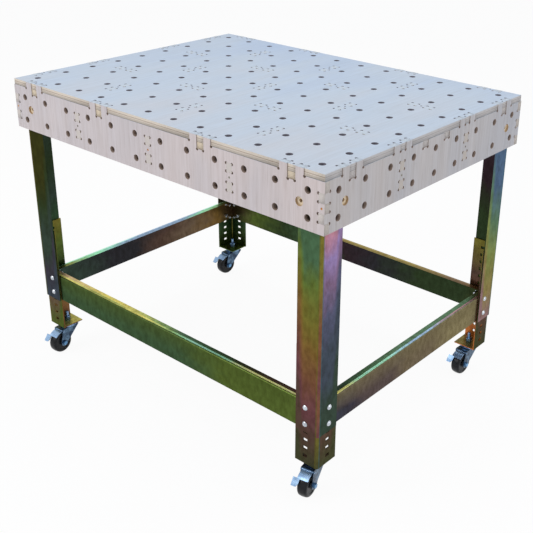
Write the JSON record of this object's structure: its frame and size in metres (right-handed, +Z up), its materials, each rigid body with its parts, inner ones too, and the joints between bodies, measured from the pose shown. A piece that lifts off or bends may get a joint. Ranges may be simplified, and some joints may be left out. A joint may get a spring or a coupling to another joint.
{
  "type": "assembly table",
  "caption": "Plywood torsion-box work table with a grid of dog holes on bolted angle legs with sliding extensions, tie rails and braked swivel casters.",
  "frame": {"origin": "on the floor, under the middle of the whole footprint, which the front casters make 25.4 mm longer than the top: the middle of the top is at y = +12.7 mm", "axes": "+X along the long side of the top, +Y from the front apron to the back one, +Z up"},
  "size_m": [1.2192, 0.9398, 0.9391],
  "materials": {
    "plywood": "pale sanded birch plywood",
    "yellow_zinc_steel": "iridescent yellow zinc passivate",
    "bright_zinc": "bright zinc plate",
    "caster_zinc": "bluish zinc plate",
    "brake_zinc": "pale blue zinc plate",
    "wheel_black": "glossy black, moulded"
  },
  "bodies": {
    "table_frame": {"top_panel": "plywood", "apron_front": "plywood", "apron_back": "plywood", "apron_left": "plywood", "apron_right": "plywood", "doubler_front": "plywood", "doubler_back": "plywood", "doubler_left": "plywood", "doubler_right": "plywood", "cross_rib_left": "plywood", "cross_rib_middle": "plywood", "cross_rib_right": "plywood", "long_rib_front": "plywood", "long_rib_back": "plywood", "leg_front_left": "yellow_zinc_steel", "leg_front_right": "yellow_zinc_steel", "leg_back_right": "yellow_zinc_steel", "leg_back_left": "yellow_zinc_steel", "rail_front": "yellow_zinc_steel", "rail_back": "yellow_zinc_steel", "rail_left": "yellow_zinc_steel", "rail_right": "yellow_zinc_steel", "leg_bolts": "bright_zinc", "leg_nuts": "bright_zinc"},
    "foot_front_left": {"extension_front_left": "yellow_zinc_steel", "caster_stem_front_left": "caster_zinc"},
    "swivel_front_left": {"caster_fork_front_left": "caster_zinc", "caster_axle_front_left": "caster_zinc"},
    "roller_front_left": {"caster_wheel_front_left": "wheel_black"},
    "pedal_front_left": {"brake_front_left": "brake_zinc"},
    "foot_front_right": {"extension_front_right": "yellow_zinc_steel", "caster_stem_front_right": "caster_zinc"},
    "swivel_front_right": {"caster_fork_front_right": "caster_zinc", "caster_axle_front_right": "caster_zinc"},
    "roller_front_right": {"caster_wheel_front_right": "wheel_black"},
    "pedal_front_right": {"brake_front_right": "brake_zinc"},
    "foot_back_right": {"extension_back_right": "yellow_zinc_steel", "caster_stem_back_right": "caster_zinc"},
    "swivel_back_right": {"caster_fork_back_right": "caster_zinc", "caster_axle_back_right": "caster_zinc"},
    "roller_back_right": {"caster_wheel_back_right": "wheel_black"},
    "pedal_back_right": {"brake_back_right": "brake_zinc"},
    "foot_back_left": {"extension_back_left": "yellow_zinc_steel", "caster_stem_back_left": "caster_zinc"},
    "swivel_back_left": {"caster_fork_back_left": "caster_zinc", "caster_axle_back_left": "caster_zinc"},
    "roller_back_left": {"caster_wheel_back_left": "wheel_black"},
    "pedal_back_left": {"brake_back_left": "brake_zinc"}
  },
  "joints": [
    {"name": "leg_height_front_left", "type": "slide", "parent": "table_frame", "child": "foot_front_left", "axis": [0, 0, -1], "range_m": [-0.0508, 0.1016]},
    {"name": "swivel_front_left", "type": "hinge", "parent": "foot_front_left", "child": "swivel_front_left", "pos_m": [-0.5486, -0.3835, 0.087], "axis": [0, 0, 1], "continuous": true},
    {"name": "wheel_spin_front_left", "type": "hinge", "parent": "swivel_front_left", "child": "roller_front_left", "pos_m": [-0.54452, -0.42229, 0.0375], "axis": [0.9945, 0.1045, 0], "continuous": true},
    {"name": "brake_press_front_left", "type": "hinge", "parent": "swivel_front_left", "child": "pedal_front_left", "pos_m": [-0.54452, -0.42229, 0.0786], "axis": [0.9945, 0.1045, 0], "range_deg": [-14, 3.5]},
    {"name": "leg_height_front_right", "type": "slide", "parent": "table_frame", "child": "foot_front_right", "axis": [0, 0, -1], "range_m": [-0.0508, 0.1016]},
    {"name": "swivel_front_right", "type": "hinge", "parent": "foot_front_right", "child": "swivel_front_right", "pos_m": [0.5486, -0.3835, 0.087], "axis": [0, 0, 1], "continuous": true},
    {"name": "wheel_spin_front_right", "type": "hinge", "parent": "swivel_front_right", "child": "roller_front_right", "pos_m": [0.55637, -0.42172, 0.0375], "axis": [0.9799, 0.1994, 0], "continuous": true},
    {"name": "brake_press_front_right", "type": "hinge", "parent": "swivel_front_right", "child": "pedal_front_right", "pos_m": [0.55637, -0.42172, 0.0786], "axis": [0.9799, 0.1994, 0], "range_deg": [-14, 3.5]},
    {"name": "leg_height_back_right", "type": "slide", "parent": "table_frame", "child": "foot_back_right", "axis": [0, 0, -1], "range_m": [-0.0508, 0.1016]},
    {"name": "swivel_back_right", "type": "hinge", "parent": "foot_back_right", "child": "swivel_back_right", "pos_m": [0.5486, 0.4089, 0.087], "axis": [0, 0, 1], "continuous": true},
    {"name": "wheel_spin_back_right", "type": "hinge", "parent": "swivel_back_right", "child": "roller_back_right", "pos_m": [0.5469, 0.36994, 0.0375], "axis": [0.999, -0.0436, 0], "continuous": true},
    {"name": "brake_press_back_right", "type": "hinge", "parent": "swivel_back_right", "child": "pedal_back_right", "pos_m": [0.5469, 0.36994, 0.0786], "axis": [0.999, -0.0436, 0], "range_deg": [-14, 3.5]},
    {"name": "leg_height_back_left", "type": "slide", "parent": "table_frame", "child": "foot_back_left", "axis": [0, 0, -1], "range_m": [-0.0508, 0.1016]},
    {"name": "swivel_back_left", "type": "hinge", "parent": "foot_back_left", "child": "swivel_back_left", "pos_m": [-0.5486, 0.4089, 0.087], "axis": [0, 0, 1], "continuous": true},
    {"name": "wheel_spin_back_left", "type": "hinge", "parent": "swivel_back_left", "child": "roller_back_left", "pos_m": [-0.5503, 0.36994, 0.0375], "axis": [0.999, -0.0436, 0], "continuous": true},
    {"name": "brake_press_back_left", "type": "hinge", "parent": "swivel_back_left", "child": "pedal_back_left", "pos_m": [-0.5503, 0.36994, 0.0786], "axis": [0.999, -0.0436, 0], "range_deg": [-14, 3.5]}
  ]
}
